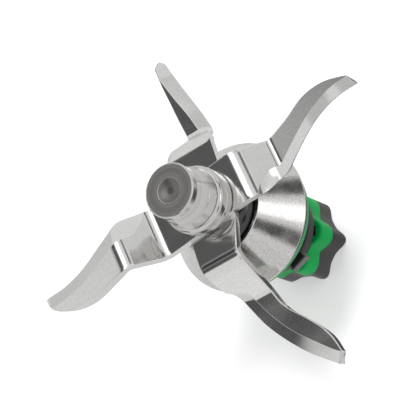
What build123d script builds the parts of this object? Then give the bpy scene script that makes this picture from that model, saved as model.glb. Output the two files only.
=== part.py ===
from build123d import *
from dataclasses import dataclass
import math
import os

# Mixing knife of a blender jug. Two bent and ground blade strips turn on a shaft. The shaft runs in a bearing
# housing that passes through the bottom of the jug, and a lobed coupling under the jug drives it.
# The part stands on its coupling, with the shaft along +Z and the upper blade strip along X. Sizes are in mm.

# Heights of the stack along the shaft, from the coupling's foot upwards
STAR_HEIGHT = 7.4          # dark lobed foot of the coupling
MARKER_HEIGHT = 6.5        # coloured ring of the same outline above it
COUPLING_NECK_HEIGHT = 8.6
COUPLING_GAP = 0.6         # between the coupling and the housing's collar
COLLAR_HEIGHT = 16.4       # locking collar, from its lower edge to the sealing ring
SEAL_HEIGHT = 4.4          # sealing ring
RIM_EDGE = 1.0             # upright edge of the cone's rim
CONE_HEIGHT = 13.6         # from the rim to the lip
SLINGER_REACH = 4.0        # from the lip up to the blades

# Blade strips
SHEET = 2.5                # thickness of the sheet
STRIP_WIDTH = 17.6         # width of both strips at the shaft
CROSSING = 96.0            # turn from the upper strip to the lower one, clockwise from above, degrees
BEND_RADIUS = 5.0          # inner radius of the bends beside the shaft
KNEE_RADIUS = 3.0          # inner radius of the bends between riser and blade
EDGE_LAND = 0.35           # thickness left at the cutting edge
TIP_ROUNDING = 1.5
WAIST_LENGTH = 11.5        # stretch over which a strip's back edge comes in
WAIST_END = 3.5            # from the end of that stretch to the first bend

# Cap nut
CAP_FLANGE_RADIUS = 11.2
CAP_FLANGE_HEIGHT = 1.65
CAP_RING_RADIUS = 10.5
CAP_RING_HEIGHT = 2.6
CAP_GROOVE_RADIUS = 9.3
CAP_GROOVE_HEIGHT = 0.6
CAP_BELLY_RADIUS = 10.4
CAP_BELLY_HEIGHT = 5.2
CAP_WAIST_RADIUS = 8.1
CAP_WAIST_HEIGHT = 5.2
CAP_HEAD_RADIUS = 8.7
CAP_HEAD_HEIGHT = 2.6
CAP_CHAMFER = 0.5
DIMPLE_RADIUS = 4.0
DIMPLE_DEPTH = 0.9

# Shaft
SHAFT_RADIUS = 4.0
SHAFT_FLAT = 3.2           # from the axis to each of the two flats that turn the blades
THREAD_RADIUS = 3.0
THREAD_LENGTH = 11.0
SHAFT_FOOT = 1.6           # coupling's floor under the shaft
FIT_CLEARANCE = 0.03       # radial play between pieces that are pushed onto each other
RUNNING_CLEARANCE = 0.06   # radial play of what turns in the housing

# Ball bearings and what holds them
BEARING_RADIUS = 11.0
BEARING_WIDTH = 7.0
INNER_RING_WALL = 2.0
OUTER_RING_WALL = 1.9
BALL_RADIUS = 1.95
BALL_COUNT = 7
CAGE_WALL = 1.2
CAGE_HEIGHT = 5.0
SHIELD_THICKNESS = 0.4
SHIELD_GAP = 0.4
BEARING_SPACING = 6.6      # between the two bearings
SLEEVE_WALL = 1.5
CIRCLIP_THICKNESS = 1.0
CIRCLIP_WIDTH = 1.6
CIRCLIP_DEPTH = 0.5        # how deep a circlip sits in its groove
CIRCLIP_OPENING = 40.0     # part of the turn that a circlip leaves open, degrees

# Bearing housing, its seals and its collar
LIP_RADIUS = 15.1
LIP_WALL = 0.9
LIP_ROUNDING = 0.3
RIM_RADIUS = 24.4
RIM_ROUNDING = 0.35
SEAL_SEAT_DEPTH = 0.8      # how deep the sealing ring sits under the rim
RECESS_DEPTH = 2.6
HOUSING_WALL = 1.3         # wall of the housing's neck round the bearings
LIP_SEAL_HEIGHT = 4.5
LIP_SEAL_WALL = 3.6
SEAL_RADIUS = 22.9
SEAL_ROUNDING = 1.2
COLLAR_WALL = 1.2
COLLAR_FLANGE_WIDTH = 2.2
COLLAR_FLANGE_HEIGHT = 2.6
COLLAR_ROUNDING = 0.9
NOTCH_WIDTH = 5.2
NOTCH_COUNT = 3
NOTCH_HEADING = -76.0      # heading of the first notch from +X, degrees
SLINGER_PLAY = 0.6         # between the slinger and the lip round it
SLINGER_TOP_RADIUS = 9.8
SLINGER_SKIRT = 1.2        # upright edge of the slinger
SLINGER_GAP = 0.9          # slinger's skirt above the floor of the housing's recess

# Coupling
LOBES = 6
LOBE_MEAN = 12.8
LOBE_SWING = 1.51          # lobes and valleys about the mean
LOBE_SHARPNESS = 0.32      # narrows the lobes and widens the valleys
LOBE_HEADING = 31.3        # heading of the first lobe from +X, degrees
LOBE_POINTS = 8            # points on the outline for each lobe
MARKER_INSET = 0.2         # coloured ring inside the outline of the foot
CORE_RADIUS = 9.0
COUPLING_NECK_RADIUS = 11.3
COUPLING_ROUNDING = 0.8
PIN_RADIUS = 1.25
PIN_INSET = 0.4            # pin's ends below the surface of the coupling's neck

# Places that follow from the sizes above
MARKER_TOP = STAR_HEIGHT + MARKER_HEIGHT
COUPLING_TOP = MARKER_TOP + COUPLING_NECK_HEIGHT
COLLAR_BOTTOM = COUPLING_TOP + COUPLING_GAP
SEAL_BOTTOM = COLLAR_BOTTOM + COLLAR_HEIGHT
RIM_BOTTOM = SEAL_BOTTOM + SEAL_HEIGHT
RIM_TOP = RIM_BOTTOM + RIM_EDGE
LIP_TOP = RIM_TOP + CONE_HEIGHT
SLINGER_RADIUS = LIP_RADIUS - LIP_WALL - SLINGER_PLAY
RECESS_FLOOR = LIP_TOP - RECESS_DEPTH
LOWER_STRIP_BOTTOM = LIP_TOP + SLINGER_REACH
UPPER_STRIP_BOTTOM = LOWER_STRIP_BOTTOM + SHEET
HUB_TOP = UPPER_STRIP_BOTTOM + SHEET
SLINGER_BOTTOM = RECESS_FLOOR + SLINGER_GAP
RETAINER_BOTTOM = COLLAR_BOTTOM + CIRCLIP_THICKNESS
LOWER_BEARING = RETAINER_BOTTOM + CIRCLIP_THICKNESS
UPPER_BEARING = LOWER_BEARING + BEARING_WIDTH + BEARING_SPACING
BEARINGS_TOP = UPPER_BEARING + BEARING_WIDTH
SLEEVE_RADIUS = SHAFT_RADIUS + SLEEVE_WALL
LIP_SEAL_RADIUS = SLEEVE_RADIUS + LIP_SEAL_WALL
NECK_RADIUS = BEARING_RADIUS + HOUSING_WALL
COLLAR_RADIUS = NECK_RADIUS + COLLAR_WALL
COLLAR_FLANGE_RADIUS = COLLAR_RADIUS + COLLAR_FLANGE_WIDTH
INNER_RING_RADIUS = SHAFT_RADIUS + INNER_RING_WALL
OUTER_RING_BORE = BEARING_RADIUS - OUTER_RING_WALL
PITCH_RADIUS = (INNER_RING_RADIUS + OUTER_RING_BORE) / 2
PIN_HEIGHT = (MARKER_TOP + COUPLING_TOP) / 2


@dataclass
class Arm:
    """One arm of a strip. Distances run outwards from the shaft. Sideways places are measured from the
    strip's centre line, positive towards the cutting edge."""

    bend: float    # distance of the first bend
    knee: float    # distance of the second bend
    rise: float    # height of the second bend above the hub
    tilt: float    # slope of the blade, degrees upwards
    length: float  # length of the blade along its slope
    start: float   # distance at which the grinding starts
    root: tuple    # back edge and cutting edge at the second bend
    sweep: tuple   # middle of the blade at each quarter of its length
    width: tuple   # width of the blade at the same places
    grind: tuple   # width of the ground facet at the second bend and at the tip
    waist: float   # how far the back edge comes in before the first bend


RIGHT = Arm(
    bend=17.0, knee=25.6, rise=-8.5, tilt=8.0, length=36.6, start=17.8, root=(-8.8, 5.5),
    sweep=(-4.7, -7.8, -7.6, -5.3), width=(11.2, 9.7, 6.9, 3.6), grind=(4.6, 4.4), waist=0.0,
)
LEFT = Arm(
    bend=18.2, knee=27.2, rise=10.3, tilt=-8.0, length=34.8, start=19.0, root=(-8.8, 5.3),
    sweep=(-3.6, -4.8, -3.8, -1.0), width=(12.5, 10.8, 8.0, 4.6), grind=(4.0, 3.8), waist=0.0,
)
FRONT = Arm(
    bend=22.0, knee=30.2, rise=-13.5, tilt=-25.0, length=29.6, start=26.0, root=(-5.3, 5.3),
    sweep=(-2.4, -6.9, -11.2, -15.0), width=(10.3, 11.8, 10.0, 4.2), grind=(4.4, 6.2), waist=3.5,
)
REAR = Arm(
    bend=22.0, knee=30.2, rise=-13.5, tilt=0.0, length=31.0, start=25.0, root=(-5.3, 5.2),
    sweep=(-1.9, -3.7, -5.5, -7.1), width=(8.6, 7.1, 5.6, 3.8), grind=(5.0, 4.7), waist=0.0,
)


def ring(outer, inner, height, bottom=0.0):
    """Plain ring round the shaft."""
    return Pos(0, 0, bottom) * extrude(Circle(outer) - Circle(inner), height)


def turned(*points):
    """Solid turned about the shaft from an outline of (radius, height) points."""
    return revolve(Plane.XZ * make_face(Polyline(*points, close=True)), Axis.Z)


def around(count, heading, shape):
    """Copies of a shape that lies along +X, evenly spaced round the shaft."""
    return [Rot(0, 0, heading + 360 / count * i) * shape for i in range(count)]


def arm_path(arm):
    """Top line of an arm's sheet seen from the side, with both bends. It runs on a little past the tip."""
    slope = math.radians(arm.tilt)
    reach = arm.length + SHEET
    tip = (arm.knee + reach * math.cos(slope), arm.rise + reach * math.sin(slope))
    falls = arm.rise < 0
    bend_radius = BEND_RADIUS + SHEET if falls else BEND_RADIUS
    knee_radius = KNEE_RADIUS if falls else KNEE_RADIUS + SHEET
    return FilletPolyline((0, 0), (arm.bend, 0), (arm.knee, arm.rise), tip, radius=(bend_radius, knee_radius))


def arm_sheet(path):
    """Bent sheet under the top line, wider than the strip."""
    side = Wire(path.edges()).offset_2d(SHEET, side=Side.RIGHT, kind=Kind.INTERSECTION)
    return extrude(Plane.XZ * Face(side), 2 * STRIP_WIDTH, both=True)


def blade_quarters(arm, offset):
    """Plan points at the quarters of a blade, half its width times the offset beside its middle."""
    step = arm.length / 4 * math.cos(math.radians(arm.tilt))
    places = zip(arm.sweep, arm.width)
    middles = [-middle - offset * width / 2 for middle, width in places]
    return [(arm.knee + step * i, middle) for i, middle in enumerate(middles, 1)]


def arm_outline(arm):
    """Outline of an arm from above, along +X, with the cutting edge towards -Y."""
    half = STRIP_WIDTH / 2
    back = blade_quarters(arm, -1)
    front = blade_quarters(arm, 1)
    knee_back = (arm.knee, -arm.root[0])
    knee_front = (arm.knee, -arm.root[1])
    waist = (arm.bend - WAIST_END, half - arm.waist)
    edges = [
        Polyline((arm.bend, -half), (0, -half), (0, half), (waist[0] - WAIST_LENGTH, half), waist, knee_back),
        Spline(knee_back, *back),
        Line(back[-1], front[-1]),
        Spline((arm.bend, -half), knee_front, *front),
    ]
    outline = make_face(edges)
    return fillet(outline.vertices().sort_by(Axis.X)[-2:], TIP_ROUNDING)


def grinding_section(path, arm, place, ridge, grind):
    """Triangle that the grinding takes off the top of the sheet, at a place along its top line."""
    slope = (SHEET - EDGE_LAND) / grind
    inner = -0.3 * grind
    outer = 2.0 * grind
    spot = path.position_at(place, position_mode=PositionMode.LENGTH)
    along = path.tangent_at(place, position_mode=PositionMode.LENGTH)
    plane = Plane(
        origin=(spot.X, 0, spot.Y),
        x_dir=(0, -1, 0),
        z_dir=(along.X, 0, along.Y),
    )
    corners = [(ridge + inner, slope * inner), (ridge + outer, slope * inner), (ridge + outer, slope * outer)]
    return plane * make_face(Polyline(*corners, close=True))


def grinding(path, arm):
    """What the grinding takes off an arm, first down the riser and round the knee, then along the blade."""
    flat, bend, riser, knee, blade = path.edges().sort_by(Axis.X)
    riser_start = flat.length + bend.length
    knee_start = riser_start + riser.length
    blade_start = knee_start + knee.length
    first = (arm.start - bend.end_point().X) / (knee.start_point().X - bend.end_point().X)
    root_ridge = arm.root[1] - arm.grind[0]
    down = []
    for part in (0.0, 0.25, 0.5, 0.75, 1.0):
        place = riser_start + (first + (1 - first) * part) * riser.length
        ridge = root_ridge + (STRIP_WIDTH / 2 - root_ridge) * (1 - part) ** 2
        down.append(grinding_section(path, arm, place, ridge, arm.grind[0]))
    for part in (0.5, 1.0):
        down.append(grinding_section(path, arm, knee_start + part * knee.length, root_ridge, arm.grind[0]))
    out = [down[-1]]
    for i, (middle, width) in enumerate(zip(arm.sweep, arm.width), 1):
        grind = arm.grind[0] + (arm.grind[1] - arm.grind[0]) * i / 4
        place = blade_start + blade.length * i / 4
        out.append(grinding_section(path, arm, place, middle + width / 2 - grind, grind))
    return [loft(down, ruled=True), loft(out)]


def arm_solid(arm):
    """One arm from the shaft to its tip, bent, cut to its outline and ground."""
    path = arm_path(arm)
    blank = arm_sheet(path) & extrude(arm_outline(arm), 3 * STRIP_WIDTH, both=True)
    return blank - grinding(path, arm)


def shaft_section(clearance=0.0):
    """Section of the shaft where its two flats turn the blades."""
    return Circle(SHAFT_RADIUS + clearance) & Rectangle(2 * (SHAFT_FLAT + clearance), 3 * SHAFT_RADIUS)


def strip(first, second, heading, bottom):
    """Strip of two arms, one each way from the shaft, with the hole that fits the shaft's flats."""
    body = arm_solid(first) + Rot(0, 0, 180) * arm_solid(second)
    hole = extrude(shaft_section(FIT_CLEARANCE), 2 * SHEET, both=True)
    return Pos(0, 0, bottom + SHEET) * (Rot(0, 0, heading) * body - hole)


def cap_nut():
    ring_top = CAP_FLANGE_HEIGHT + CAP_RING_HEIGHT
    belly_bottom = ring_top + CAP_GROOVE_HEIGHT
    belly_top = belly_bottom + CAP_BELLY_HEIGHT
    head_bottom = belly_top + CAP_WAIST_HEIGHT
    top = head_bottom + CAP_HEAD_HEIGHT
    shoulder = CAP_BELLY_RADIUS - CAP_WAIST_RADIUS
    edges = [
        Polyline((0, 0), (CAP_FLANGE_RADIUS, 0), (CAP_FLANGE_RADIUS, CAP_FLANGE_HEIGHT)),
        Polyline((CAP_FLANGE_RADIUS, CAP_FLANGE_HEIGHT), (CAP_RING_RADIUS, CAP_FLANGE_HEIGHT)),
        Polyline((CAP_RING_RADIUS, CAP_FLANGE_HEIGHT), (CAP_RING_RADIUS, ring_top)),
        Polyline((CAP_RING_RADIUS, ring_top), (CAP_GROOVE_RADIUS, ring_top)),
        Polyline((CAP_GROOVE_RADIUS, ring_top), (CAP_GROOVE_RADIUS, belly_bottom)),
        Polyline((CAP_GROOVE_RADIUS, belly_bottom), (CAP_BELLY_RADIUS, belly_bottom)),
        Polyline((CAP_BELLY_RADIUS, belly_bottom), (CAP_BELLY_RADIUS, belly_top - shoulder)),
        RadiusArc((CAP_BELLY_RADIUS, belly_top - shoulder), (CAP_WAIST_RADIUS, belly_top), -shoulder),
        Polyline((CAP_WAIST_RADIUS, belly_top), (CAP_WAIST_RADIUS, head_bottom)),
        Polyline((CAP_WAIST_RADIUS, head_bottom), (CAP_HEAD_RADIUS, head_bottom)),
        Polyline((CAP_HEAD_RADIUS, head_bottom), (CAP_HEAD_RADIUS, top - CAP_CHAMFER)),
        Polyline((CAP_HEAD_RADIUS, top - CAP_CHAMFER), (CAP_HEAD_RADIUS - CAP_CHAMFER, top)),
        Polyline((CAP_HEAD_RADIUS - CAP_CHAMFER, top), (0, top), (0, 0)),
    ]
    body = revolve(Plane.XZ * make_face(edges), Axis.Z)
    bowl = (DIMPLE_RADIUS**2 + DIMPLE_DEPTH**2) / (2 * DIMPLE_DEPTH)
    body -= Pos(0, 0, top + bowl - DIMPLE_DEPTH) * Sphere(bowl)
    body -= extrude(Circle(THREAD_RADIUS + FIT_CLEARANCE), THREAD_LENGTH)
    return Pos(0, 0, HUB_TOP) * body


def circles(body, radius, height):
    """Round edges of a body at a radius and a height."""
    near = FIT_CLEARANCE / 3
    rounds = body.edges().filter_by(GeomType.CIRCLE)
    return rounds.filter_by(lambda e: abs(e.radius - radius) < near and abs(e.arc_center.Z - height) < near)


def slinger():
    """Domed collar under the blades. It turns in the recess at the top of the cone and throws water off."""
    bore = SHAFT_RADIUS + FIT_CLEARANCE
    skirt_top = SLINGER_BOTTOM + SLINGER_SKIRT
    dome = (SLINGER_RADIUS - SLINGER_TOP_RADIUS, LOWER_STRIP_BOTTOM - skirt_top)
    edges = [
        Polyline((bore, LOWER_STRIP_BOTTOM), (bore, SLINGER_BOTTOM), (SLINGER_RADIUS, SLINGER_BOTTOM)),
        Line((SLINGER_RADIUS, SLINGER_BOTTOM), (SLINGER_RADIUS, skirt_top)),
        EllipticalCenterArc((SLINGER_TOP_RADIUS, skirt_top), *dome, 0, arc_size=90),
        Line((SLINGER_TOP_RADIUS, LOWER_STRIP_BOTTOM), (bore, LOWER_STRIP_BOTTOM)),
    ]
    return revolve(Plane.XZ * make_face(edges), Axis.Z)


def cross_pin(radius, inset):
    """Round bar across the shaft, in the coupling's neck."""
    length = 2 * (COUPLING_NECK_RADIUS - inset)
    return Pos(0, 0, PIN_HEIGHT) * Rot(0, 90, 0) * Cylinder(radius, length)


def drive_shaft():
    groove_floor = SHAFT_RADIUS - CIRCLIP_DEPTH - FIT_CLEARANCE
    body = Pos(0, 0, SHAFT_FOOT) * extrude(Circle(SHAFT_RADIUS), LOWER_STRIP_BOTTOM - SHAFT_FOOT)
    body += Pos(0, 0, LOWER_STRIP_BOTTOM) * extrude(shaft_section(), 2 * SHEET)
    body += Pos(0, 0, HUB_TOP) * extrude(Circle(THREAD_RADIUS), THREAD_LENGTH)
    body -= ring(SLEEVE_RADIUS, groove_floor, CIRCLIP_THICKNESS, RETAINER_BOTTOM)
    return body - cross_pin(PIN_RADIUS + FIT_CLEARANCE, 0)


def sleeve(bottom, height):
    """Hard sleeve on the shaft."""
    return ring(SLEEVE_RADIUS, SHAFT_RADIUS + FIT_CLEARANCE, height, bottom)


def circlip(inner):
    """Spring ring with a gap."""
    gap = 2 * inner * math.sin(math.radians(CIRCLIP_OPENING / 2))
    opening = Pos(BEARING_RADIUS, 0, RETAINER_BOTTOM) * Box(2 * BEARING_RADIUS, gap, 3 * CIRCLIP_THICKNESS)
    return ring(inner + CIRCLIP_WIDTH, inner, CIRCLIP_THICKNESS, RETAINER_BOTTOM) - opening


def race():
    """Groove in which the balls run, in the middle of a bearing that stands on z = 0."""
    return Pos(0, 0, BEARING_WIDTH / 2) * Torus(PITCH_RADIUS, BALL_RADIUS + RUNNING_CLEARANCE)


def inner_ring():
    return ring(INNER_RING_RADIUS, SHAFT_RADIUS + FIT_CLEARANCE, BEARING_WIDTH) - race()


def outer_ring():
    return ring(BEARING_RADIUS, OUTER_RING_BORE, BEARING_WIDTH) - race()


def balls():
    return around(BALL_COUNT, 0, Pos(PITCH_RADIUS, 0, BEARING_WIDTH / 2) * Sphere(BALL_RADIUS))


def cage():
    """Ring that keeps the balls apart."""
    bottom = (BEARING_WIDTH - CAGE_HEIGHT) / 2
    body = ring(PITCH_RADIUS + CAGE_WALL / 2, PITCH_RADIUS - CAGE_WALL / 2, CAGE_HEIGHT, bottom)
    pocket = Rot(0, 90, 0) * Cylinder(BALL_RADIUS + RUNNING_CLEARANCE, 2 * CAGE_WALL)
    return body - around(BALL_COUNT, 0, Pos(PITCH_RADIUS, 0, BEARING_WIDTH / 2) * pocket)


def shields():
    """Thin washers that close both sides of a bearing."""
    outer = OUTER_RING_BORE - FIT_CLEARANCE
    inner = INNER_RING_RADIUS + SHIELD_GAP
    return [ring(outer, inner, SHIELD_THICKNESS, z) for z in (0, BEARING_WIDTH - SHIELD_THICKNESS)]


def bearing_housing():
    """Turned housing: lip, cone and rim outside, and the stepped bore for the lip seal and the bearings."""
    bore = BEARING_RADIUS + FIT_CLEARANCE
    passage = INNER_RING_RADIUS + SHIELD_GAP
    seal_bore = LIP_SEAL_RADIUS + FIT_CLEARANCE
    seal_floor = RECESS_FLOOR - LIP_SEAL_HEIGHT
    seat = SEAL_RADIUS + FIT_CLEARANCE
    seat_top = RIM_BOTTOM + SEAL_SEAT_DEPTH
    body = turned(
        (LIP_RADIUS - LIP_WALL, RECESS_FLOOR), (LIP_RADIUS - LIP_WALL, LIP_TOP), (LIP_RADIUS, LIP_TOP),
        (RIM_RADIUS, RIM_TOP), (RIM_RADIUS, RIM_BOTTOM), (seat, RIM_BOTTOM), (seat, seat_top),
        (NECK_RADIUS, seat_top), (NECK_RADIUS, COLLAR_BOTTOM), (bore, COLLAR_BOTTOM), (bore, BEARINGS_TOP),
        (passage, BEARINGS_TOP), (passage, seal_floor), (seal_bore, seal_floor), (seal_bore, RECESS_FLOOR),
    )
    body -= ring(bore + CIRCLIP_DEPTH, BEARING_RADIUS - CIRCLIP_DEPTH, CIRCLIP_THICKNESS, RETAINER_BOTTOM)
    body = fillet(circles(body, RIM_RADIUS, RIM_TOP) + circles(body, RIM_RADIUS, RIM_BOTTOM), RIM_ROUNDING)
    return fillet(circles(body, LIP_RADIUS, LIP_TOP), LIP_ROUNDING)


def seal_ring():
    """Soft ring under the cone's rim, which seals the housing against the jug."""
    height = RIM_BOTTOM + SEAL_SEAT_DEPTH - SEAL_BOTTOM
    body = ring(SEAL_RADIUS, NECK_RADIUS + FIT_CLEARANCE, height, SEAL_BOTTOM)
    return fillet(circles(body, SEAL_RADIUS, SEAL_BOTTOM), SEAL_ROUNDING)


def lip_seal():
    """Seal round the turning sleeve, with a groove from above that frees its lip."""
    inner = SLEEVE_RADIUS + RUNNING_CLEARANCE
    wall = (LIP_SEAL_RADIUS - inner) / 3
    bottom = RECESS_FLOOR - LIP_SEAL_HEIGHT
    body = ring(LIP_SEAL_RADIUS, inner, LIP_SEAL_HEIGHT, bottom)
    return body - ring(LIP_SEAL_RADIUS - wall, inner + wall, LIP_SEAL_HEIGHT, bottom + LIP_SEAL_HEIGHT / 3)


def locking_collar():
    """Collar on the housing's neck. Its flange has notches for the locking ring under the jug."""
    inner = NECK_RADIUS + FIT_CLEARANCE
    body = ring(COLLAR_RADIUS, inner, COLLAR_HEIGHT, COLLAR_BOTTOM)
    flange = ring(COLLAR_FLANGE_RADIUS, inner, COLLAR_FLANGE_HEIGHT, COLLAR_BOTTOM)
    flange_top = COLLAR_BOTTOM + COLLAR_FLANGE_HEIGHT
    body += fillet(circles(flange, COLLAR_FLANGE_RADIUS, flange_top), COLLAR_ROUNDING)
    corner = (Align.MIN, Align.CENTER, Align.MIN)
    notch = Box(2 * COLLAR_FLANGE_WIDTH, NOTCH_WIDTH, COLLAR_FLANGE_HEIGHT, align=corner)
    return body - around(NOTCH_COUNT, NOTCH_HEADING, Pos(COLLAR_RADIUS, 0, COLLAR_BOTTOM) * notch)


def lobed_face(inset=0.0):
    """Lobed outline of the coupling."""
    points = []
    for i in range(LOBES * LOBE_POINTS):
        turn = 2 * math.pi * i / (LOBES * LOBE_POINTS)
        wave = LOBE_SWING * math.cos(LOBES * turn) + LOBE_SHARPNESS * math.cos(2 * LOBES * turn)
        heading = turn + math.radians(LOBE_HEADING)
        radius = LOBE_MEAN - inset + wave
        points.append((radius * math.cos(heading), radius * math.sin(heading)))
    return make_face(Spline(*points, periodic=True))


def coupling_foot():
    """Lobed foot that the motor's socket turns, with the core and the neck that carry it on the shaft."""
    foot = extrude(lobed_face(), STAR_HEIGHT)
    body = fillet(foot.edges().group_by(Axis.Z)[0], COUPLING_ROUNDING)
    body += Pos(0, 0, STAR_HEIGHT) * extrude(Circle(CORE_RADIUS), MARKER_HEIGHT)
    body += Pos(0, 0, MARKER_TOP) * extrude(Circle(COUPLING_NECK_RADIUS), COUPLING_NECK_HEIGHT)
    body -= Pos(0, 0, SHAFT_FOOT) * extrude(Circle(SHAFT_RADIUS + FIT_CLEARANCE), COUPLING_TOP)
    return body - cross_pin(PIN_RADIUS + FIT_CLEARANCE, 0)


def coupling_marker():
    """Coloured ring round the coupling's core, which shows the jug's type."""
    outline = lobed_face(MARKER_INSET) - Circle(CORE_RADIUS + FIT_CLEARANCE)
    return Pos(0, 0, STAR_HEIGHT) * extrude(outline, MARKER_HEIGHT)


def all_parts():
    parts = {
        "cap_nut": cap_nut(),
        "upper_blade": strip(RIGHT, LEFT, 0, UPPER_STRIP_BOTTOM),
        "lower_blade": strip(FRONT, REAR, -CROSSING, LOWER_STRIP_BOTTOM),
        "slinger": slinger(),
        "drive_shaft": drive_shaft(),
        "shaft_sleeve": sleeve(BEARINGS_TOP, SLINGER_BOTTOM - BEARINGS_TOP),
        "spacer_sleeve": sleeve(LOWER_BEARING + BEARING_WIDTH, BEARING_SPACING),
        "shaft_circlip": circlip(SHAFT_RADIUS - CIRCLIP_DEPTH),
        "coupling_foot": coupling_foot(),
        "coupling_marker": coupling_marker(),
        "coupling_pin": cross_pin(PIN_RADIUS, PIN_INSET),
        "bearing_housing": bearing_housing(),
        "seal_ring": seal_ring(),
        "lip_seal": lip_seal(),
        "locking_collar": locking_collar(),
        "retaining_ring": circlip(BEARING_RADIUS + CIRCLIP_DEPTH - CIRCLIP_WIDTH),
    }
    for place, bottom in (("lower", LOWER_BEARING), ("upper", UPPER_BEARING)):
        parts[f"{place}_inner_ring"] = Pos(0, 0, bottom) * inner_ring()
        parts[f"{place}_outer_ring"] = Pos(0, 0, bottom) * outer_ring()
        parts[f"{place}_balls"] = Pos(0, 0, bottom) * Compound(children=balls())
        parts[f"{place}_cage"] = Pos(0, 0, bottom) * cage()
        parts[f"{place}_shields"] = Pos(0, 0, bottom) * Compound(children=shields())
    return parts


os.makedirs("parts", exist_ok=True)
for node, shape in all_parts().items():
    export_step(shape, f"parts/{node}.step")
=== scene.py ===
import math

import bpy
import numpy as np
from mathutils import Matrix


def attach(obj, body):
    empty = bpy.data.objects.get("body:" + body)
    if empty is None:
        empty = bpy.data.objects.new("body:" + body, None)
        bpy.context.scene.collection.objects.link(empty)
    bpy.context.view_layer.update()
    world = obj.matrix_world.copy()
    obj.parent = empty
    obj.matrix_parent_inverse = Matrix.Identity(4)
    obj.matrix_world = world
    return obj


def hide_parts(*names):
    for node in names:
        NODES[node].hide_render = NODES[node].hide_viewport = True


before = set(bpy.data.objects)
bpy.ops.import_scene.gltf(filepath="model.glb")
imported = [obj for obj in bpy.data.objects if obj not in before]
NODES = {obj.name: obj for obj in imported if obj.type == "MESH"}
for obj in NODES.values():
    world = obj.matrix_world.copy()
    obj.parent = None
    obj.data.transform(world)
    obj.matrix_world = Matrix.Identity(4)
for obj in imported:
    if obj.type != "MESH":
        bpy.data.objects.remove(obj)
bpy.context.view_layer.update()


# Blade strips
# Two strips of stainless sheet cross on the shaft. Each is blanked, bent twice on either side, then ground along
# one edge of its blades. The flats are finely grained along the strip, and the edges are worn bright.

def new_group(name, inputs, outputs):
    """Node group with the named inputs and outputs."""
    group = bpy.data.node_groups.new(name, "ShaderNodeTree")
    for label, kind, value in inputs:
        socket = group.interface.new_socket(label, in_out="INPUT", socket_type=kind)
        if value is not None:
            socket.default_value = value
    for label, kind in outputs:
        group.interface.new_socket(label, in_out="OUTPUT", socket_type=kind)
    return group, group.nodes.new("NodeGroupInput"), group.nodes.new("NodeGroupOutput")


def add_noises(group, source, given, result):
    """Fine and slow noise of a group, read at the source socket."""
    for label, detail, output in (("Fine", 2.0, "Speckle"), ("Slow", 3.0, "Cloud")):
        noise = group.nodes.new("ShaderNodeTexNoise")
        noise.inputs["Detail"].default_value = detail
        group.links.new(source, noise.inputs["Vector"])
        group.links.new(given.outputs[label], noise.inputs["Scale"])
        group.links.new(noise.outputs["Fac"], result.inputs[output])


GRAIN_INPUTS = [
    ("Vector", "NodeSocketVector", None),
    ("Fine", "NodeSocketFloat", 4000.0),
    ("Slow", "NodeSocketFloat", 120.0),
]
GRAIN_OUTPUTS = [("Speckle", "NodeSocketFloat"), ("Cloud", "NodeSocketFloat")]


def make_grain():
    """Grain of worked sheet or moulded plastic: a fine noise, and a slow one that varies it."""
    group, given, result = new_group("grain", GRAIN_INPUTS, GRAIN_OUTPUTS)
    add_noises(group, given.outputs["Vector"], given, result)
    return group


BEVEL_SAMPLES = 6
WEAR_START, WEAR_FULL = 0.995, 0.85  # cosine between the plain and the rounded normal


def make_edge_wear():
    """Rounded normal at the edges, and a mask that is white where the surface turns sharply."""
    group, given, result = new_group(
        "edge_wear",
        [("Radius", "NodeSocketFloat", 0.0002)],
        [("Normal", "NodeSocketVector"), ("Mask", "NodeSocketFloat")],
    )
    rounded = group.nodes.new("ShaderNodeBevel")
    rounded.samples = BEVEL_SAMPLES
    group.links.new(given.outputs["Radius"], rounded.inputs["Radius"])
    plain = group.nodes.new("ShaderNodeNewGeometry")
    dot = group.nodes.new("ShaderNodeVectorMath")
    dot.operation = "DOT_PRODUCT"
    group.links.new(rounded.outputs["Normal"], dot.inputs[0])
    group.links.new(plain.outputs["Normal"], dot.inputs[1])
    turned_away = group.nodes.new("ShaderNodeMapRange")
    turned_away.inputs["From Min"].default_value = WEAR_START
    turned_away.inputs["From Max"].default_value = WEAR_FULL
    group.links.new(dot.outputs["Value"], turned_away.inputs["Value"])
    group.links.new(rounded.outputs["Normal"], result.inputs["Normal"])
    group.links.new(turned_away.outputs["Result"], result.inputs["Mask"])
    return group


GRAIN = make_grain()
EDGE_WEAR = make_edge_wear()
NOISE_LOW, NOISE_HIGH = 0.3, 0.7  # what the noises mostly lie between
ROUGH_SWING = 0.08                # how much rougher the cloudy patches are
COAT_ROUGH = 0.08
WORN_METAL, WORN_PLASTIC = (0.35, 0.75), (0.02, 1.6)  # what a worn edge adds to the colour, and its factor


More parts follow.
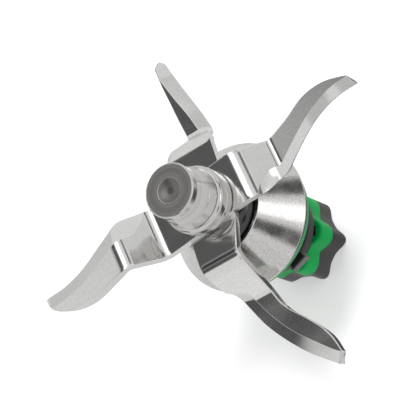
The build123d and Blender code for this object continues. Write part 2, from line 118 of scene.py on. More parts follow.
def surface(name, color, rough, metallic=0.0, grain=GRAIN, fine=4000.0, slow=120.0, stretch=(1, 1, 1), turn=0.0,
            speckle=0.15, cloud=0.1, bump=0.2, depth=0.00002, edge=0.0002, wear=0.3, anisotropic=0.0, coat=0.0,
            shine=0.5):
    """Worked surface. The grain darkens the colour a little, roughens it and lifts it, and edges are worn light."""
    material = bpy.data.materials.new(name)
    material.use_nodes = True
    nodes, links = material.node_tree.nodes, material.node_tree.links
    shader = nodes["Principled BSDF"]
    shader.inputs["Metallic"].default_value = metallic
    shader.inputs["Coat Weight"].default_value = coat
    shader.inputs["Specular IOR Level"].default_value = shine
    shader.inputs["Coat Roughness"].default_value = COAT_ROUGH
    shader.inputs["Anisotropic"].default_value = anisotropic
    if anisotropic:
        tangent = nodes.new("ShaderNodeTangent")
        tangent.direction_type = "RADIAL"
        tangent.axis = "Z"
        links.new(tangent.outputs["Tangent"], shader.inputs["Tangent"])
    place = nodes.new("ShaderNodeTexCoord")
    mapping = nodes.new("ShaderNodeMapping")
    mapping.inputs["Rotation"].default_value = (0, 0, math.radians(turn))
    mapping.inputs["Scale"].default_value = stretch
    links.new(place.outputs["Object"], mapping.inputs["Vector"])
    noise = nodes.new("ShaderNodeGroup")
    noise.node_tree = grain
    noise.inputs["Fine"].default_value = fine
    noise.inputs["Slow"].default_value = slow
    links.new(mapping.outputs["Vector"], noise.inputs["Vector"])
    edges = nodes.new("ShaderNodeGroup")
    edges.node_tree = EDGE_WEAR
    edges.inputs["Radius"].default_value = edge

    def ranged(socket, low, high):
        node = nodes.new("ShaderNodeMapRange")
        node.inputs["From Min"].default_value = NOISE_LOW
        node.inputs["From Max"].default_value = NOISE_HIGH
        node.inputs["To Min"].default_value = low
        node.inputs["To Max"].default_value = high
        links.new(socket, node.inputs["Value"])
        return node.outputs["Result"]

    shade = nodes.new("ShaderNodeMath")
    shade.operation = "MULTIPLY"
    links.new(ranged(noise.outputs["Speckle"], 1.0 - speckle, 1.0), shade.inputs[0])
    links.new(ranged(noise.outputs["Cloud"], 1.0 - cloud, 1.0), shade.inputs[1])
    base = nodes.new("ShaderNodeMix")
    base.data_type = "RGBA"
    base.inputs["A"].default_value = (0, 0, 0, 1)
    base.inputs["B"].default_value = (*color, 1)
    links.new(shade.outputs["Value"], base.inputs["Factor"])
    amount = nodes.new("ShaderNodeMath")
    amount.operation = "MULTIPLY"
    amount.inputs[1].default_value = wear
    links.new(edges.outputs["Mask"], amount.inputs[0])
    worn = nodes.new("ShaderNodeMix")
    worn.data_type = "RGBA"
    lift, gain = WORN_METAL if metallic else WORN_PLASTIC
    light = [min(1.0, lift + gain * c) for c in color]
    worn.inputs["B"].default_value = (*light, 1)
    links.new(amount.outputs["Value"], worn.inputs["Factor"])
    links.new(base.outputs["Result"], worn.inputs["A"])
    links.new(worn.outputs["Result"], shader.inputs["Base Color"])
    links.new(ranged(noise.outputs["Cloud"], rough, rough + ROUGH_SWING), shader.inputs["Roughness"])
    relief = nodes.new("ShaderNodeBump")
    relief.inputs["Strength"].default_value = bump
    relief.inputs["Distance"].default_value = depth
    links.new(noise.outputs["Speckle"], relief.inputs["Height"])
    links.new(edges.outputs["Normal"], relief.inputs["Normal"])
    links.new(relief.outputs["Normal"], shader.inputs["Normal"])
    return material


def dress(material, *nodes):
    """Gives CAD nodes their material."""
    for node in nodes:
        NODES[node].data.materials.clear()
        NODES[node].data.materials.append(material)


MM = 0.001
SHARP_EDGE = math.radians(14)


def add_object(name, data):
    """New object in the scene."""
    obj = bpy.data.objects.new(name, data)
    bpy.context.scene.collection.objects.link(obj)
    return obj


def piece(name, grids, material, body, nodes):
    """Closed mesh from grids of points in mm. Columns run round and join up, rows run along, and the first and last
    row are closed. It rides on a body and stands for CAD nodes."""
    points, faces, start = [], [], 0
    for grid in grids:
        rows, columns, _ = grid.shape
        index = start + np.arange(rows * columns).reshape(rows, columns)
        ring = np.concatenate([index, index[:, :1]], 1)
        quads = np.stack([ring[:-1, :-1], ring[:-1, 1:], ring[1:, 1:], ring[1:, :-1]], -1).reshape(-1, 4)
        flat = grid.reshape(-1, 3)
        a, b, c, d = (flat[quads[:, i] - start] for i in range(4))
        volume = np.einsum("ij,ij->", a, np.cross(b, c)) + np.einsum("ij,ij->", a, np.cross(c, d))
        step = 1 if volume > 0 else -1
        faces += quads[:, ::step].tolist()
        faces += [index[0, ::-step].tolist(), index[-1, ::step].tolist()]
        points.append(flat)
        start += rows * columns
    mesh = bpy.data.meshes.new(name)
    mesh.from_pydata((np.concatenate(points) * MM).tolist(), [], faces)
    mesh.polygons.foreach_set("use_smooth", np.ones(len(faces), bool))
    mesh.set_sharp_from_angle(angle=SHARP_EDGE)
    mesh.materials.append(material)
    obj = add_object(name, mesh)
    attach(obj, body)
    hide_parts(*nodes)
    return obj


SHEET = 2.5                # thickness of the sheet in mm, as are the sizes below
HALF = 8.8                 # half the strip's width at the shaft
LAND = 0.35                # thickness left at the cutting edge
ROLL = 0.22                # rounding of the blanked edge
BEND_RADIUS, KNEE_RADIUS = 5.0, 3.0
WAIST_END = 11.7           # from the knee back to where the back edge has come in
WAIST_LENGTH = 11.5
TIP_STRETCH = 2.4          # at the tip, where the rows draw closer together
UPRIGHT = 0.25             # share of the blade over which its sections turn upright
CURL = (0.0, 0.29, 0.62)   # columns on the rolled edge, as shares of its height
FLAT_ROWS, BEND_ROWS, RISER_ROWS, BLADE_ROWS, TIP_ROWS, FACE_COLUMNS = 10, 18, 22, 60, 16, 12

# For each arm: distances of its bends from the shaft, height of the second one, slope of the blade in degrees, how
# far the back edge comes in, half width midway down the riser, back and front edge at the knee, length of the back
# and the front edge, those edges at each quarter of the blade, start of the grinding, width of the ground facet from
# the knee to the tip, and rounding of the tip's two corners
ARMS = {
    "right": dict(bend=17.0, knee=25.6, rise=-8.5, tilt=8.0, waist=0.0, shoulder=7.2, root=(-8.8, 4.0),
                  tip=(34.6, 35.6), back=(-10.5, -12.9, -12.1, -8.2), front=(-0.9, -4.6, -5.9, -5.0),
                  start=17.8, grind=(2.9, 2.5, 2.5, 2.9, 3.0), corner=(1.2, 0.5)),
    "left": dict(bend=18.2, knee=27.2, rise=10.3, tilt=-8.0, waist=0.0, shoulder=9.2, root=(-8.8, 7.4),
                 tip=(33.7, 35.0), back=(-9.8, -10.2, -8.0, -3.2), front=(4.8, 2.5, 1.7, 2.6),
                 start=19.0, grind=(6.2, 6.0, 5.4, 5.0, 5.2), corner=(1.5, 0.8)),
    "front": dict(bend=20.5, knee=30.2, rise=-13.5, tilt=-25.0, waist=3.5, shoulder=7.6, root=(-5.3, 5.5),
                  tip=(26.9, 29.8), back=(-7.0, -11.7, -15.3, -16.1), front=(3.1, -0.6, -5.8, -13.0),
                  start=26.0, grind=(4.4, 4.4, 4.4, 4.7, 3.1), corner=(0.8, 0.8)),
    "rear": dict(bend=22.0, knee=30.2, rise=-13.5, tilt=0.0, waist=0.0, shoulder=5.6, root=(-5.3, 3.6),
                 tip=(30.5, 31.1), back=(-6.5, -7.5, -8.5, -9.1), front=(1.3, -1.2, -3.6, -5.8),
                 start=25.0, grind=(3.9, 3.8, 4.0, 4.1, 4.2), corner=(1.6, 0.8)),
}


def smooth(x, xs, ys):
    """Smooth curve through the points (xs, ys), straight on beyond them: a cubic between each pair, with the slopes
    of the neighbouring pairs."""
    xs, ys = np.array(xs, float), np.array(ys, float)
    slopes = np.gradient(ys, xs)
    i = np.clip(np.searchsorted(xs, x) - 1, 0, len(xs) - 2)
    h = xs[i + 1] - xs[i]
    t = (x - xs[i]) / h
    inside = np.clip(t, 0, 1)
    value = ((2 * inside**3 - 3 * inside**2 + 1) * ys[i] + (inside**3 - 2 * inside**2 + inside) * h * slopes[i]
             + (3 * inside**2 - 2 * inside**3) * ys[i + 1] + (inside**3 - inside**2) * h * slopes[i + 1])
    return value + (t - inside) * h * np.where(t > 1, slopes[i + 1], slopes[i])


def arc(start, radius, before, after, count):
    """Points and headings on a bend that starts at a point and turns from one heading to another."""
    turn = np.linspace(before, after, count)
    reach = math.copysign(radius, after - before)
    x = start[0] + reach * (np.sin(turn) - math.sin(before))
    z = start[1] + reach * (math.cos(before) - np.cos(turn))
    return x, z, turn


def arm_grid(bend, knee, rise, tilt, waist, shoulder, root, tip, back, front, start, grind, corner):
    """Grid of one arm along +X, its top at z = 0 and its cutting edge towards -Y. Rows follow the sheet's top line:
    flat, bend, riser, knee and blade, closer together at the tip's rounded corners. A row is a section across the
    arm: rolled back edge, flat top, ground facet, land and underside. It is square to the sheet up to the knee, and
    turns upright along the blade, as the strip is blanked."""
    riser, blade = math.atan2(rise, knee - bend), math.radians(tilt)
    falls = rise < 0
    radii = (BEND_RADIUS + SHEET, KNEE_RADIUS) if falls else (BEND_RADIUS, KNEE_RADIUS + SHEET)
    cut = [r * math.tan(abs(a) / 2) for r, a in zip(radii, (riser, blade - riser))]
    first = arc((bend - cut[0], 0), radii[0], 0, riser, BEND_ROWS)
    knee_start = (knee - cut[1] * math.cos(riser), rise - cut[1] * math.sin(riser))
    second = arc(knee_start, radii[1], riser, blade, BEND_ROWS)
    flat = np.linspace(0, bend - cut[0], FLAT_ROWS)[:-1]
    part = np.linspace(0, 1, RISER_ROWS)[1:-1]
    slope = [a[-1] + part * (k - a[-1]) for a, k in zip(first, knee_start)]
    near = np.linspace(0, 1 - TIP_STRETCH / min(tip), BLADE_ROWS)[1:]
    end = near[-1] + (1 - near[-1]) * np.sin(np.linspace(0, math.pi / 2, TIP_ROWS)[1:])
    t = np.concatenate([near, end])
    x = np.concatenate([flat, first[0], slope[0], second[0]])
    z = np.concatenate([0 * flat, first[1], slope[1], second[1]])
    turn = np.concatenate([0 * flat, first[2], 0 * part + riser, second[2], 0 * t + blade])
    sides = []
    for length, radius in zip(tip, corner):
        along = cut[1] + t * (length - cut[1])
        left = np.clip(length - along, 0, radius)
        inset = radius - np.sqrt(np.maximum(radius**2 - (radius - left) ** 2, 0))
        sides.append((np.concatenate([x, knee + along * math.cos(blade)]),
                      np.concatenate([z, rise + along * math.sin(blade)]),
                      np.concatenate([0 * x, inset])))
    (back_x, back_z, back_in), (front_x, front_z, front_in) = sides
    quarters = [[knee + length / 4 * i * math.cos(blade) for i in range(5)] for length in tip]
    waist_end = knee - WAIST_END
    near_back = np.interp(back_x, [waist_end - WAIST_LENGTH, waist_end, knee], [-HALF, waist - HALF, root[0]])
    u_back = np.where(back_x < knee, near_back, smooth(back_x, quarters[0], (root[0], *back))) + back_in
    front_knots = [bend, (bend + knee) / 2, *quarters[1]]
    far_front = smooth(front_x, front_knots, (HALF, shoulder, root[1], *front))
    u_front = np.where(front_x < bend, HALF, far_front) - front_in
    root_ridge = root[1] - grind[0]
    down = np.clip((front_x - start) / (knee_start[0] - start), 0, 1)
    on_riser = root_ridge + (HALF - root_ridge) * (1 - down) ** 2
    ridges = [f - g for f, g in zip((root[1], *front), grind)]
    ridge = np.where(front_x < knee, on_riser, smooth(front_x, quarters[1], ridges))
    ridge = np.clip(ridge, u_back + 2 * ROLL, u_front)
    width = np.where(front_x < knee, np.maximum(grind[0], u_front - ridge), smooth(front_x, quarters[1], grind))
    depth = (SHEET - LAND) * np.clip((u_front - ridge) / width, 0, 1)
    across = np.linspace(0, 1, FACE_COLUMNS)[:, None]
    inner = u_back + ROLL
    top = inner + across * (ridge - inner)
    facet = ridge + across[1:] * (u_front - ridge)
    curl = np.array(CURL)[:, None]
    under = np.stack([u_front, (u_back + u_front) / 2, u_back])
    u = np.concatenate([u_back + ROLL * curl**2, top, facet, under])
    low = [-ROLL * (1 - curl) ** 2 + 0 * u_back, 0 * top, -across[1:] * depth, 0 * under - SHEET]
    w = np.concatenate(low)
    share = (u - u_back) / np.maximum(u_front - u_back, 1e-6)
    base_x = back_x + share * (front_x - back_x)
    base_z = back_z + share * (front_z - back_z)
    lean = turn * (1 - np.clip(np.concatenate([0 * x, t / UPRIGHT]), 0, 1))
    w = w / np.cos(turn - lean)
    return np.stack([base_x - w * np.sin(lean), -u, base_z + w * np.cos(lean)], -1).transpose(1, 0, 2)


def turned_about(grid, degrees, lift):
    """Grid turned about the shaft and lifted."""
    c, s = math.cos(math.radians(degrees)), math.sin(math.radians(degrees))
    return grid @ np.array([[c, s, 0], [-s, c, 0], [0, 0, 1]]) + (0, 0, lift)


BLADE = dict(color=(0.80, 0.795, 0.785), rough=0.08, metallic=1.0, fine=3200.0, stretch=(0.3, 1, 1), speckle=0.12,
             cloud=0.05, bump=0.06, depth=0.00001, wear=0.6)
UPPER_TOP, LOWER_TOP, CROSSING = 67.5, 65.0, -96.0
upper = [turned_about(arm_grid(**ARMS["right"]), 0, UPPER_TOP), turned_about(arm_grid(**ARMS["left"]), 180, UPPER_TOP)]
lower = [turned_about(arm_grid(**ARMS["front"]), CROSSING, LOWER_TOP),
         turned_about(arm_grid(**ARMS["rear"]), CROSSING + 180, LOWER_TOP)]
piece("upper_strip", upper, surface("upper_blade_steel", **BLADE), "rotor", ["upper_blade"])
piece("lower_strip", lower, surface("lower_blade_steel", turn=-CROSSING, **BLADE), "rotor", ["lower_blade"])


# Cap nut
# Turned from bright steel. Its top face is brushed in coarser rings, and the dimple in it is rougher and painted dark
# as the shade in its hollow.

def make_turned_grain():
    """Marks of the lathe: noises that change along the radius and the height, and stay the same round the shaft."""
    group, given, result = new_group("turned_grain", GRAIN_INPUTS, GRAIN_OUTPUTS)
    split = group.nodes.new("ShaderNodeSeparateXYZ")
    flat = group.nodes.new("ShaderNodeCombineXYZ")
    length = group.nodes.new("ShaderNodeVectorMath")
    length.operation = "LENGTH"
    joined = group.nodes.new("ShaderNodeCombineXYZ")
    group.links.new(given.outputs["Vector"], split.inputs["Vector"])
    group.links.new(split.outputs["X"], flat.inputs["X"])
    group.links.new(split.outputs["Y"], flat.inputs["Y"])
    group.links.new(flat.outputs["Vector"], length.inputs[0])
    group.links.new(length.outputs["Value"], joined.inputs["X"])
    group.links.new(split.outputs["Z"], joined.inputs["Y"])
    add_noises(group, joined.outputs["Vector"], given, result)
    return group


TURNED_GRAIN = make_turned_grain()
ROUND = np.radians(np.arange(0, 360, 2.5))  # headings of the columns


def round_grid(rows):
    """Grid round the shaft from rows of a radius for each column and a height."""
    return np.stack([np.stack([r * np.cos(ROUND), r * np.sin(ROUND), 0 * ROUND + z], 1) for r, z in rows])


def turned_grid(profile):
    """Grid turned about the shaft from (radius, height) points."""
    return round_grid([(r + 0 * ROUND, z) for r, z in profile])


QUARTER_POINTS = 10


def quarter(middle, reach, first):
    """Points of a quarter ellipse from a heading in degrees."""
    turn = np.radians(np.linspace(first, first + 90, QUARTER_POINTS))
    return [(middle[0] + reach[0] * math.cos(a), middle[1] + reach[1] * math.sin(a)) for a in turn]


# Radius and height of the profiles, from the flange up over the ring, the belly, the neck and the head, then inwards
CAP = [(0.02, 67.5), (10.5, 67.5), (10.5, 68.75), (10.35, 68.9), (10.1, 68.9), (10.1, 69.4), (10.65, 69.4),
       (10.8, 69.55), *quarter((9.4, 71.4), (1.4, 1.8), 0), (9.4, 73.6), (9.7, 73.6), (9.8, 73.75), (9.4, 76.95),
       (9.3, 77.1), *quarter((9.3, 79.9), (1.3, 2.8), 180), (8.0, 82.7), (8.6, 82.7), (8.7, 82.8), (8.7, 84.95),
       (8.6, 85.2), (8.35, 85.33), (8.2, 85.34), (8.15, 84.2)]
CAP_TOP = [(8.1, 84.1), (8.2, 85.3), (8.15, 85.35), (4.15, 85.35), (4.0, 85.28), (3.98, 84.2)]
BOWL, BOWL_BOTTOM = 9.34, 84.4      # radius of the dimple's bowl, and the height of its lowest point
BOWL_RADII = (3.95, 3.7, 3.3, 2.8, 2.2, 1.6, 1.0, 0.5, 0.02)
DIMPLE = [(3.9, 84.1), (4.02, 84.2), (4.02, 85.28)]
DIMPLE += [(r, BOWL_BOTTOM + BOWL - math.sqrt(BOWL**2 - r**2)) for r in BOWL_RADII]
cap_steel = surface("cap_steel", (0.72, 0.71, 0.69), 0.09, metallic=1.0, grain=TURNED_GRAIN, fine=3000.0, slow=500.0,
                    speckle=0.2, bump=0.12, depth=0.00001, anisotropic=0.25, edge=0.00015, wear=0.5)
piece("cap", [turned_grid(CAP)], cap_steel, "rotor", ["cap_nut"])
top_steel = surface("top_steel", (0.64, 0.63, 0.61), 0.26, metallic=1.0, grain=TURNED_GRAIN, fine=3000.0, slow=900.0,
                    speckle=0.35, cloud=0.2, bump=0.3, wear=0.2)
piece("cap_top", [turned_grid(CAP_TOP)], top_steel, "rotor", ["cap_nut"])
# Painted shade: the dimple is the cap's steel, painted dark as the shade in its hollow
dimple_shaded_steel = surface("dimple_shaded_steel", (0.25, 0.245, 0.24), 0.3, metallic=1.0, grain=TURNED_GRAIN, fine=3000.0,
                       slow=900.0, speckle=0.25, cloud=0.25, bump=0.3, wear=0.0)
piece("dimple", [turned_grid(DIMPLE)], dimple_shaded_steel, "rotor", ["cap_nut"])

# Slinger
# A polished black dome between the blades and the cone.

dress(surface("slinger_black", (0.012, 0.012, 0.013), 0.12, fine=1500.0, bump=0.1, coat=0.6), "slinger")

# Bearing housing
# Turned and blasted to a fine matt grain, with a rolled rim.

dress(surface("housing_steel", (0.80, 0.79, 0.77), 0.14, metallic=1.0, fine=2600.0, slow=200.0, speckle=0.3,
              cloud=0.06, bump=0.4, depth=0.00003, wear=0.4), "bearing_housing")

# Sealing ring
# Soft moulded rubber, slightly dusty.

dress(surface("seal_green", (0.050, 0.34, 0.115), 0.5, fine=1800.0, speckle=0.2, bump=0.3, shine=0.3), "seal_ring")

# Locking collar
# Dark moulded plastic with a fine spark-eroded texture. Its lugs are painted lighter as the light on them, and each
# lug has a black plate on its top, painted shade that stands for a deep window.

COLLAR = [(12.4, 23.1), (14.9, 23.1), (14.9, 24.8), *quarter((14.0, 24.8), (0.9, 0.9), 0), (13.1, 25.7), (13.1, 39.5),
          (12.4, 39.5)]
LUG = (13.2, -3.2, 23.1), (16.8, 3.2, 25.6)     # two corners of the first lug, along +X
# Painted shade: a thin black plate on each lug's top stands for the shade in a deep window
WINDOW_SHADE = (13.3, -2.6, 25.5), (16.2, 2.6, 25.68)
LUG_HEADING = -76.0
LUG_TURNS = (0, 120, 240)


def block(low, high):
    """Grid of a box between two corners."""
    corners = [(low[0], low[1]), (high[0], low[1]), (high[0], high[1]), (low[0], high[1])]
    return np.array([[(*p, z) for p in corners] for z in (low[2], high[2])], float)


def blocks(corners, heading, turns):
    """Grids of a box turned about the shaft to several headings."""
    return [turned_about(block(*corners), heading + turn, 0) for turn in turns]


collar_plastic = surface("collar_plastic", (0.060, 0.055, 0.057), 0.42, fine=1800.0, speckle=0.25, bump=0.4)
piece("collar", [turned_grid(COLLAR)], collar_plastic, "housing", ["locking_collar"])
lugs = blocks(LUG, LUG_HEADING, LUG_TURNS)
# Painted light: the lugs are the collar's plastic, painted lighter as the light falling on them
lit_lug_plastic = surface("lit_lug_plastic", (0.15, 0.142, 0.145), 0.38, fine=1800.0, speckle=0.2, bump=0.3)
piece("lugs", lugs, lit_lug_plastic, "housing", ["locking_collar"])
window_shades = blocks(WINDOW_SHADE, LUG_HEADING, LUG_TURNS)
# Black for painted shade, on the lug windows and on the lobes
shadow = surface("painted_shade_black", (0.004, 0.004, 0.004), 0.6, speckle=0.1, wear=0.0)
piece("window_shades", window_shades, shadow, "housing", [])

# Coupling
# Dark lobed foot, and a green ring moulded round its core, with a black plate on the top of each lobe: painted shade
# for the gap under the collar.

LOBE_COUNT = 6
LOBE_HEADING = 31.7
STAR_TOP, MARKER_TOP, NECK_TOP = 9.7, 17.0, 22.5
FOOT_MEAN, MARKER_MEAN = 12.75, 13.15                # mean radius of the lobed outlines
FOOT_LOBES, MARKER_LOBES = (1.5, 0.3), (1.58, -0.16)  # their swing and sharpness
FOOT_ROUNDING, MARKER_ROUNDING = 0.8, 1.2
NECK_RADIUS, MARKER_BORE, CORE_RADIUS = 11.3, 11.2, 9.0
# Painted shade: a thin black plate on each lobe's top stands for the shade in the gap under the collar
LOBE_SHADE = (11.2, -1.7, MARKER_TOP - 0.2), (12.2, 1.7, MARKER_TOP + 0.03)


def lobed_grid(profile, swing, sharpness):
    """Grid whose radius follows the lobes in the rows marked so."""
    turn = ROUND - math.radians(LOBE_HEADING)
    wave = swing * np.cos(LOBE_COUNT * turn) + sharpness * np.cos(2 * LOBE_COUNT * turn)
    return round_grid([(r + (wave if lobed else 0 * wave), z) for r, z, lobed in profile])


def rounded_edge(mean, rounding, middle, first):
    """Lobed rows of a rounded edge."""
    return [(mean - rounding + r, z, True) for r, z in quarter((0, middle), (rounding, rounding), first)]


foot = [(0.02, 0, False), *rounded_edge(FOOT_MEAN, FOOT_ROUNDING, FOOT_ROUNDING, -90), (FOOT_MEAN, STAR_TOP, True),
        (NECK_RADIUS, STAR_TOP, False), (NECK_RADIUS, NECK_TOP, False), (0.02, NECK_TOP, False)]
marker_edge = rounded_edge(MARKER_MEAN, MARKER_ROUNDING, MARKER_TOP - MARKER_ROUNDING, 0)
marker = [(MARKER_BORE, STAR_TOP, False), (MARKER_MEAN, STAR_TOP, True), *marker_edge,
          (CORE_RADIUS, MARKER_TOP, False)]
coupling_dark = surface("coupling_dark", (0.036, 0.034, 0.034), 0.45, fine=1500.0, speckle=0.25, bump=0.4)
piece("star", [lobed_grid(foot, *FOOT_LOBES)], coupling_dark, "rotor", ["coupling_foot"])
coupling_green = surface("coupling_green", (0.0, 0.36, 0.075), 0.4, fine=1500.0, speckle=0.12, bump=0.25, shine=0.15)
piece("marker", [lobed_grid(marker, *MARKER_LOBES)], coupling_green, "rotor", ["coupling_marker"])
# Black plates of painted shade on the lobes' tops
lobe_shades = blocks(LOBE_SHADE, LOBE_HEADING, range(0, 360, 60))
piece("lobe_shades", lobe_shades, shadow, "rotor", [])

# Shaft and bearings
# All of it sits inside the housing: ground shaft, bearing rings and balls, cages, shields, seals and clips.

dress(surface("ground_steel", (0.58, 0.58, 0.58), 0.15, metallic=1.0, grain=TURNED_GRAIN, fine=3500.0), "drive_shaft")
dress(surface("ring_steel", (0.55, 0.55, 0.56), 0.1, metallic=1.0, grain=TURNED_GRAIN, fine=5000.0, speckle=0.08),
      "lower_inner_ring", "upper_inner_ring", "lower_outer_ring", "upper_outer_ring")
dress(surface("ball_steel", (0.62, 0.62, 0.63), 0.04, metallic=1.0, speckle=0.04, bump=0.05),
      "lower_balls", "upper_balls")
dress(surface("cage_steel", (0.48, 0.46, 0.42), 0.3, metallic=1.0, fine=2000.0, wear=0.5), "lower_cage", "upper_cage")
dress(surface("shield_steel", (0.50, 0.50, 0.50), 0.25, metallic=1.0, grain=TURNED_GRAIN), "lower_shields",
      "upper_shields")
dress(surface("sleeve_steel", (0.60, 0.59, 0.57), 0.12, metallic=1.0, grain=TURNED_GRAIN), "shaft_sleeve",
      "spacer_sleeve")
dress(surface("clip_steel", (0.16, 0.15, 0.145), 0.35, metallic=1.0, fine=1500.0), "shaft_circlip", "retaining_ring",
      "coupling_pin")
dress(surface("seal_rubber", (0.022, 0.022, 0.024), 0.55, fine=1500.0, speckle=0.2), "lip_seal")

# Floor, light and camera
# The part stands on a plain white floor. The room's light comes from all round, with white panels and dark cards.

PICTURE = 416                        # pixels across the photo
VIEW_TILT = math.radians(35.36)
VIEW_ROLL = math.radians(20.72)
VIEW_HEADING = math.radians(-51.0)
VIEW_DISTANCE = 0.554                # from the camera to the middle of the hub
FOCUS = 1791.0                       # focal length in pixels
SENSOR = 36.0
HUB_SPOT = (201.0, 202.5)            # where the hub lies in the picture
HUB = np.array([0, 0, 0.0675])
FAR_CLIP = 20.0


def view_axes():
    """The part's X, Y and Z axes as the camera sees them: right, down and ahead."""
    across = np.array([math.cos(VIEW_ROLL), math.sin(VIEW_ROLL)])
    up = np.array([*(-math.sin(VIEW_TILT) * across), -math.cos(VIEW_TILT)])
    out = np.array([*(math.cos(VIEW_TILT) * across), -math.sin(VIEW_TILT)])
    side = np.cross(up, out)
    turn = math.cos(VIEW_HEADING), math.sin(VIEW_HEADING)
    return np.stack([turn[0] * out - turn[1] * side, turn[1] * out + turn[0] * side, up], 1)


AXES = view_axes()
OFFSET = VIEW_DISTANCE * np.array([(HUB_SPOT[0] - PICTURE / 2) / FOCUS, (HUB_SPOT[1] - PICTURE / 2) / FOCUS, 1.0])


def put(obj, axes, spot):
    """Places an object by its three axes and its spot in the room."""
    matrix = np.eye(4)
    matrix[:3, :3] = axes
    matrix[:3, 3] = spot
    obj.matrix_world = Matrix(matrix.tolist())


camera = add_object("camera", bpy.data.cameras.new("camera"))
camera.data.sensor_width = SENSOR
camera.data.lens = FOCUS * camera.data.sensor_width / PICTURE
camera.data.clip_end = FAR_CLIP
put(camera, AXES.T @ np.diag([1, -1, -1]), HUB - AXES.T @ OFFSET)
bpy.context.scene.camera = camera

FLOOR_HALF = 4                       # half the floor's width in metres
FLOOR_WHITE, FLOOR_GLOW = 0.8, 0.3
FLOOR_MIRRORED, DARK_REFLECTION_LEVEL = 0.78, 0.10
# Painted reflection: a dark spot on the floor, seen only by the steel, darkens the cap's near side in reflection
DARK_REFLECTION_SPOT = (0.044, -0.028)
DARK_REFLECTION_INNER, DARK_REFLECTION_OUTER = 0.024, 0.044
FLOOR_REACH = 0.5                    # beyond this the steel mirrors the room instead of the floor
floor_mesh = bpy.data.meshes.new("floor")
floor_corners = [(-FLOOR_HALF, -FLOOR_HALF, 0), (FLOOR_HALF, -FLOOR_HALF, 0), (FLOOR_HALF, FLOOR_HALF, 0),
                 (-FLOOR_HALF, FLOOR_HALF, 0)]
floor_mesh.from_pydata(floor_corners, [], [(0, 1, 2, 3)])
floor = add_object("floor", floor_mesh)
floor_material = bpy.data.materials.new("floor")
floor_material.use_nodes = True
floor_nodes, floor_links = floor_material.node_tree.nodes, floor_material.node_tree.links
floor_shader = floor_nodes["Principled BSDF"]
floor_shader.inputs["Base Color"].default_value = (FLOOR_WHITE, FLOOR_WHITE, FLOOR_WHITE, 1)
floor_shader.inputs["Roughness"].default_value = 1.0
floor_shader.inputs["Emission Color"].default_value = (1, 1, 1, 1)
floor_shader.inputs["Emission Strength"].default_value = FLOOR_GLOW
floor.data.materials.append(floor_material)

# What the steel sees of the floor: plain light grey, with a painted dark reflection close to the cap's near side, and
# the room beyond it
floor_place = floor_nodes.new("ShaderNodeTexCoord")


def floor_distance(spot):
    """Distance of a point of the floor from a spot."""
    distance = floor_nodes.new("ShaderNodeVectorMath")
    distance.operation = "DISTANCE"
    distance.inputs[1].default_value = (*spot, 0)
    floor_links.new(floor_place.outputs["Object"], distance.inputs[0])
    return distance.outputs["Value"]


seen = floor_nodes.new("ShaderNodeEmission")
# Painted reflection: the floor is darker in the steel's reflections around the spot
painted_dark_reflection = floor_nodes.new("ShaderNodeMapRange")
painted_dark_reflection.inputs["From Min"].default_value = DARK_REFLECTION_INNER
painted_dark_reflection.inputs["From Max"].default_value = DARK_REFLECTION_OUTER
painted_dark_reflection.inputs["To Min"].default_value = DARK_REFLECTION_LEVEL
painted_dark_reflection.inputs["To Max"].default_value = FLOOR_MIRRORED
floor_links.new(floor_distance(DARK_REFLECTION_SPOT), painted_dark_reflection.inputs["Value"])
floor_links.new(painted_dark_reflection.outputs["Result"], seen.inputs["Strength"])
far = floor_nodes.new("ShaderNodeMath")
far.operation = "GREATER_THAN"
far.inputs[1].default_value = FLOOR_REACH
floor_links.new(floor_distance((0, 0)), far.inputs[0])
clear = floor_nodes.new("ShaderNodeBsdfTransparent")
mirrored = floor_nodes.new("ShaderNodeMixShader")
floor_links.new(far.outputs["Value"], mirrored.inputs["Fac"])
floor_links.new(seen.outputs["Emission"], mirrored.inputs[1])
floor_links.new(clear.outputs["BSDF"], mirrored.inputs[2])
floor_ray = floor_nodes.new("ShaderNodeLightPath")
blend = floor_nodes.new("ShaderNodeMixShader")
floor_links.new(floor_ray.outputs["Is Glossy Ray"], blend.inputs["Fac"])
floor_links.new(floor_shader.outputs["BSDF"], blend.inputs[1])
floor_links.new(mirrored.outputs["Shader"], blend.inputs[2])
floor_links.new(blend.outputs["Shader"], floor_nodes["Material Output"].inputs["Surface"])

ROOM = 0.85       # brightness of the room between the panels
BACKDROP = 1.0    # what the camera sees behind the floor
PANELS = [  # heading and height of a panel's middle, inner and outer size in degrees, brightness
    (90, 63, 10, 20, 1.9),
    (168, 66, 9, 18, 0.35),
    (-20, 12, 8, 13, 1.8),
    (29, 20, 6, 11, 0.75),
    (53, 42, 4, 8, 0.65),
    (36, 40, 3, 7, 0.15),
    (129, 55, 12, 19, 0.11),
    (-145, 57, 6, 11, 0.10),
    (-120, -2, 5, 8, 1.0),
    (-51, 13, 8, 12, 0.05),
    (13, 5, 8, 13, 0.08),
    (-83, 12, 8, 14, 0.75),
    (-105, 41, 8, 14, 0.6),
    (-139, 31, 4, 8, 0.6),
    (142, 43, 4, 8, 0.5),
    (147, 38, 3, 6, 0.82),
    (122, 9, 8, 14, 0.68),
    (-176, 66, 5, 9, 0.05),
    (-166, 1, 11, 17, 0.10),
    (-172, -17, 8, 13, 0.15),
]


def direction(heading, height):
    """Unit vector towards a place in the room."""
    heading, height = math.radians(heading), math.radians(height)
    return math.cos(height) * math.cos(heading), math.cos(height) * math.sin(heading), math.sin(height)


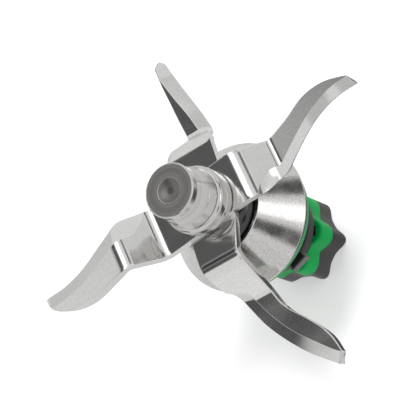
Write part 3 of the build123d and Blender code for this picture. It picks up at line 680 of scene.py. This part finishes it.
def make_panel():
    """Round panel with a soft edge: white where the direction lies within it."""
    group, given, result = new_group(
        "panel",
        [("Direction", "NodeSocketVector", None), ("Middle", "NodeSocketVector", None),
         ("Inner", "NodeSocketFloat", 0.9), ("Outer", "NodeSocketFloat", 0.8)],
        [("Mask", "NodeSocketFloat")],
    )
    dot = group.nodes.new("ShaderNodeVectorMath")
    dot.operation = "DOT_PRODUCT"
    group.links.new(given.outputs["Direction"], dot.inputs[0])
    group.links.new(given.outputs["Middle"], dot.inputs[1])
    soft = group.nodes.new("ShaderNodeMapRange")
    soft.interpolation_type = "SMOOTHSTEP"
    group.links.new(dot.outputs["Value"], soft.inputs["Value"])
    group.links.new(given.outputs["Outer"], soft.inputs["From Min"])
    group.links.new(given.outputs["Inner"], soft.inputs["From Max"])
    group.links.new(soft.outputs["Result"], result.inputs["Mask"])
    return group


PANEL = make_panel()
world = bpy.data.worlds.new("world")
bpy.context.scene.world = world
world.use_nodes = True
world_nodes, world_links = world.node_tree.nodes, world.node_tree.links
sky = world_nodes.new("ShaderNodeTexCoord")
level = world_nodes.new("ShaderNodeValue")
level.outputs["Value"].default_value = ROOM
tone = level.outputs["Value"]
for heading, height, inner, outer, bright in PANELS:
    panel = world_nodes.new("ShaderNodeGroup")
    panel.node_tree = PANEL
    panel.inputs["Middle"].default_value = direction(heading, height)
    panel.inputs["Inner"].default_value = math.cos(math.radians(inner))
    panel.inputs["Outer"].default_value = math.cos(math.radians(outer))
    world_links.new(sky.outputs["Generated"], panel.inputs["Direction"])
    mix = world_nodes.new("ShaderNodeMix")
    mix.inputs["B"].default_value = bright
    world_links.new(panel.outputs["Mask"], mix.inputs["Factor"])
    world_links.new(tone, mix.inputs["A"])
    tone = mix.outputs["Result"]
world_ray = world_nodes.new("ShaderNodeLightPath")
backdrop = world_nodes.new("ShaderNodeMix")
backdrop.inputs["B"].default_value = BACKDROP
world_links.new(world_ray.outputs["Is Camera Ray"], backdrop.inputs["Factor"])
world_links.new(tone, backdrop.inputs["A"])
world_links.new(backdrop.outputs["Result"], world_nodes["Background"].inputs["Strength"])
world_nodes["Background"].inputs["Color"].default_value = (1, 1, 1, 1)

# Key lamp, which lays the soft shadow on the floor and shows in no reflection
KEY_AIM, KEY_HEADING, KEY_HEIGHT, KEY_DISTANCE = (0, 0, 0.03), 50, 68, 0.9
KEY_SIZE, KEY_POWER = 0.35, 6.0
key = add_object("key", bpy.data.lights.new("key", "AREA"))
key.data.shape = "DISK"
key.data.size = KEY_SIZE
key.data.energy = KEY_POWER
key.visible_glossy = False
toward = np.array(direction(KEY_HEADING, KEY_HEIGHT))
side = np.cross((0, 0, 1), toward)
side /= np.linalg.norm(side)
put(key, np.stack([side, np.cross(toward, side), toward], 1), np.array(KEY_AIM) + KEY_DISTANCE * toward)

bpy.context.scene.view_settings.view_transform = "Standard"
